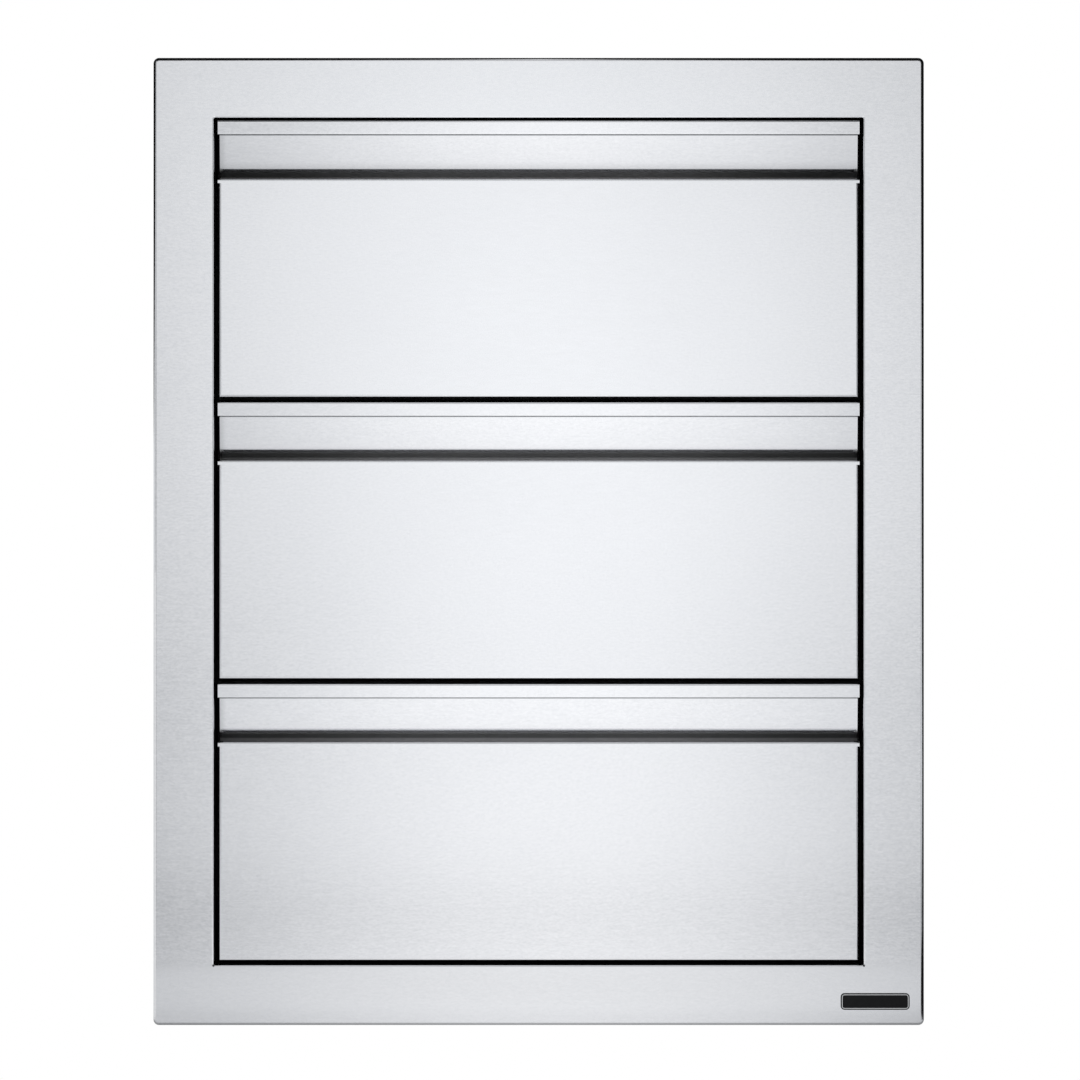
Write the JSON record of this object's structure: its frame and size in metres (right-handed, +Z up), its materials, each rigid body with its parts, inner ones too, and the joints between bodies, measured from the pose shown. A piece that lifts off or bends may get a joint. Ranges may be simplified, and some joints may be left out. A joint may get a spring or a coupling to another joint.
{
  "type": "outdoor kitchen drawer unit",
  "caption": "Built-in stainless outdoor kitchen drawer unit: a flanged face frame on a sheet box, with full-width finger-pull drawers on full-extension ball slides.",
  "frame": {"origin": "midway across, level with the back of the flange, on the underside of the floor pan", "axes": "+X to the right seen from the front, +Y into the unit away from the drawer fronts, +Z up"},
  "size_m": [0.4856, 0.5356, 0.6096],
  "materials": {
    "front_steel": "stainless, fine horizontal brushing",
    "sheet_steel": "stainless, mill finish",
    "coat_black": "black satin coat on steel",
    "rivet_steel": "stainless rivets, satin",
    "rail_zinc": "zinc-plated steel",
    "cage_steel": "stamped strip, satin",
    "ball_steel": "polished bearing steel",
    "screw_steel": "stainless screws, bright",
    "seal_rubber": "black moulded rubber",
    "plate_black": "black plate with a bright rim, blank"
  },
  "bodies": {
    "carcass": {"face_frame": "front_steel", "badge_plate": "plate_black", "left_wall": "sheet_steel", "right_wall": "sheet_steel", "top_wall": "sheet_steel", "floor_pan": "sheet_steel", "rear_wall": "sheet_steel", "upper_cross_rail": "coat_black", "lower_cross_rail": "coat_black", "sill_rail": "coat_black", "wall_rivets": "rivet_steel", "slide_rivets": "rivet_steel", "outer_rail_top_left": "rail_zinc", "outer_rail_top_right": "rail_zinc", "outer_rail_middle_left": "rail_zinc", "outer_rail_middle_right": "rail_zinc", "outer_rail_bottom_left": "rail_zinc", "outer_rail_bottom_right": "rail_zinc"},
    "drawer_top": {"front_skin_top": "front_steel", "pull_channel_top": "front_steel", "front_liner_top": "sheet_steel", "tub_top": "sheet_steel", "drawer_seal_top": "seal_rubber", "drawer_screws_top": "screw_steel", "inner_rail_top_left": "rail_zinc", "inner_rail_top_right": "rail_zinc"},
    "mid_rails_top": {"mid_rail_top_left": "rail_zinc", "mid_rail_top_right": "rail_zinc"},
    "outer_bearings_top": {"outer_cage_top": "cage_steel", "outer_balls_top": "ball_steel"},
    "inner_bearings_top": {"inner_cage_top": "cage_steel", "inner_balls_top": "ball_steel"},
    "drawer_middle": {"front_skin_middle": "front_steel", "pull_channel_middle": "front_steel", "front_liner_middle": "sheet_steel", "tub_middle": "sheet_steel", "drawer_seal_middle": "seal_rubber", "drawer_screws_middle": "screw_steel", "inner_rail_middle_left": "rail_zinc", "inner_rail_middle_right": "rail_zinc"},
    "mid_rails_middle": {"mid_rail_middle_left": "rail_zinc", "mid_rail_middle_right": "rail_zinc"},
    "outer_bearings_middle": {"outer_cage_middle": "cage_steel", "outer_balls_middle": "ball_steel"},
    "inner_bearings_middle": {"inner_cage_middle": "cage_steel", "inner_balls_middle": "ball_steel"},
    "drawer_bottom": {"front_skin_bottom": "front_steel", "pull_channel_bottom": "front_steel", "front_liner_bottom": "sheet_steel", "tub_bottom": "sheet_steel", "drawer_seal_bottom": "seal_rubber", "drawer_screws_bottom": "screw_steel", "inner_rail_bottom_left": "rail_zinc", "inner_rail_bottom_right": "rail_zinc"},
    "mid_rails_bottom": {"mid_rail_bottom_left": "rail_zinc", "mid_rail_bottom_right": "rail_zinc"},
    "outer_bearings_bottom": {"outer_cage_bottom": "cage_steel", "outer_balls_bottom": "ball_steel"},
    "inner_bearings_bottom": {"inner_cage_bottom": "cage_steel", "inner_balls_bottom": "ball_steel"}
  },
  "joints": [
    {"name": "open_top", "type": "slide", "parent": "carcass", "child": "drawer_top", "axis": [0, -1, 0], "range_m": [0, 0.48]},
    {"name": "mid_rails_top_run", "type": "slide", "parent": "carcass", "child": "mid_rails_top", "axis": [0, -1, 0], "range_m": [0, 0.24]},
    {"name": "outer_bearings_top_run", "type": "slide", "parent": "carcass", "child": "outer_bearings_top", "axis": [0, -1, 0], "range_m": [0, 0.12]},
    {"name": "inner_bearings_top_run", "type": "slide", "parent": "carcass", "child": "inner_bearings_top", "axis": [0, -1, 0], "range_m": [0, 0.36]},
    {"name": "open_middle", "type": "slide", "parent": "carcass", "child": "drawer_middle", "axis": [0, -1, 0], "range_m": [0, 0.48]},
    {"name": "mid_rails_middle_run", "type": "slide", "parent": "carcass", "child": "mid_rails_middle", "axis": [0, -1, 0], "range_m": [0, 0.24]},
    {"name": "outer_bearings_middle_run", "type": "slide", "parent": "carcass", "child": "outer_bearings_middle", "axis": [0, -1, 0], "range_m": [0, 0.12]},
    {"name": "inner_bearings_middle_run", "type": "slide", "parent": "carcass", "child": "inner_bearings_middle", "axis": [0, -1, 0], "range_m": [0, 0.36]},
    {"name": "open_bottom", "type": "slide", "parent": "carcass", "child": "drawer_bottom", "axis": [0, -1, 0], "range_m": [0, 0.48]},
    {"name": "mid_rails_bottom_run", "type": "slide", "parent": "carcass", "child": "mid_rails_bottom", "axis": [0, -1, 0], "range_m": [0, 0.24]},
    {"name": "outer_bearings_bottom_run", "type": "slide", "parent": "carcass", "child": "outer_bearings_bottom", "axis": [0, -1, 0], "range_m": [0, 0.12]},
    {"name": "inner_bearings_bottom_run", "type": "slide", "parent": "carcass", "child": "inner_bearings_bottom", "axis": [0, -1, 0], "range_m": [0, 0.36]}
  ],
  "couplings": [
    {"joint": "mid_rails_top_run", "follows": "open_top", "ratio": 0.5},
    {"joint": "outer_bearings_top_run", "follows": "open_top", "ratio": 0.25},
    {"joint": "inner_bearings_top_run", "follows": "open_top", "ratio": 0.75},
    {"joint": "mid_rails_middle_run", "follows": "open_middle", "ratio": 0.5},
    {"joint": "outer_bearings_middle_run", "follows": "open_middle", "ratio": 0.25},
    {"joint": "inner_bearings_middle_run", "follows": "open_middle", "ratio": 0.75},
    {"joint": "mid_rails_bottom_run", "follows": "open_bottom", "ratio": 0.5},
    {"joint": "outer_bearings_bottom_run", "follows": "open_bottom", "ratio": 0.25},
    {"joint": "inner_bearings_bottom_run", "follows": "open_bottom", "ratio": 0.75}
  ]
}
